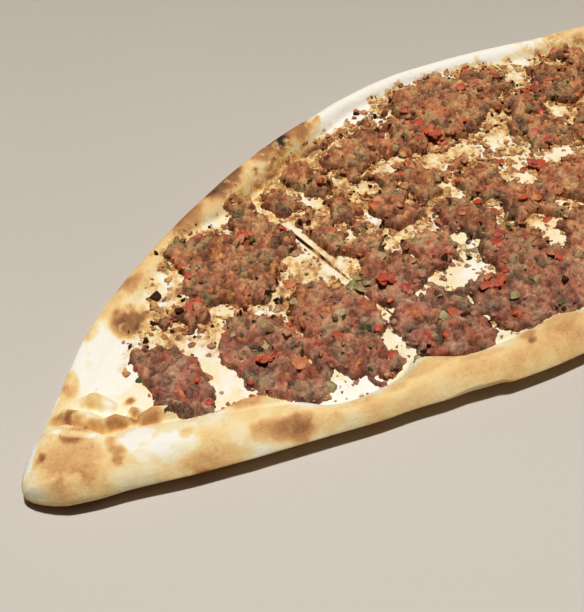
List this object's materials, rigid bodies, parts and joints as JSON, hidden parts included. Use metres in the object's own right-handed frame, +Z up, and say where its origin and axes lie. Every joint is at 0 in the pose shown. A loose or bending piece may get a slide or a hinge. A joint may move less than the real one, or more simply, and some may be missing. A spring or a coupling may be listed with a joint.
{
  "type": "turkish pide",
  "caption": "Long leaf-shaped baked flatbread with a rolled rim and folded tips, a minced-meat, pepper and tomato topping, and one knife cut across it.",
  "frame": {"origin": "middle of the pide on the surface it lies on", "axes": "+X along the length, from the tip that shows its folds to the other tip; +Y across the bread; +Z up out of the topping"},
  "size_m": [0.46, 0.178, 0.016],
  "materials": {
    "dough": "matte baked crust, floury white to toasted brown",
    "minced_meat": "moist crumbly cooked mince with a low oily sheen",
    "tomato": "moist cooked tomato",
    "red_pepper": "moist cooked red pepper",
    "green_pepper": "moist cooked green pepper and herbs"
  },
  "bodies": {
    "root": {"dough": "dough", "green_pepper_1": "green_pepper", "green_pepper_2": "green_pepper", "green_pepper_3": "green_pepper", "meat_01": "minced_meat", "meat_02": "minced_meat", "meat_03": "minced_meat", "meat_04": "minced_meat", "meat_05": "minced_meat", "meat_06": "minced_meat", "meat_07": "minced_meat", "meat_08": "minced_meat", "meat_09": "minced_meat", "meat_10": "minced_meat", "meat_11": "minced_meat", "meat_12": "minced_meat", "meat_13": "minced_meat", "meat_14": "minced_meat", "meat_15": "minced_meat", "meat_16": "minced_meat", "meat_17": "minced_meat", "meat_18": "minced_meat", "meat_19": "minced_meat", "meat_20": "minced_meat", "meat_21": "minced_meat", "meat_22": "minced_meat", "meat_23": "minced_meat", "meat_24": "minced_meat", "meat_25": "minced_meat", "meat_26": "minced_meat", "meat_27": "minced_meat", "meat_28": "minced_meat", "meat_29": "minced_meat", "meat_30": "minced_meat", "meat_31": "minced_meat", "meat_32": "minced_meat", "meat_33": "minced_meat", "meat_34": "minced_meat", "meat_35": "minced_meat", "meat_36": "minced_meat", "meat_37": "minced_meat", "meat_38": "minced_meat", "meat_39": "minced_meat", "meat_40": "minced_meat", "meat_41": "minced_meat", "red_pepper_1": "red_pepper", "red_pepper_2": "red_pepper", "red_pepper_3": "red_pepper", "red_pepper_4": "red_pepper", "tomato_1": "tomato", "tomato_2": "tomato", "tomato_3": "tomato", "tomato_4": "tomato", "tomato_5": "tomato", "tomato_6": "tomato"}
  },
  "joints": []
}
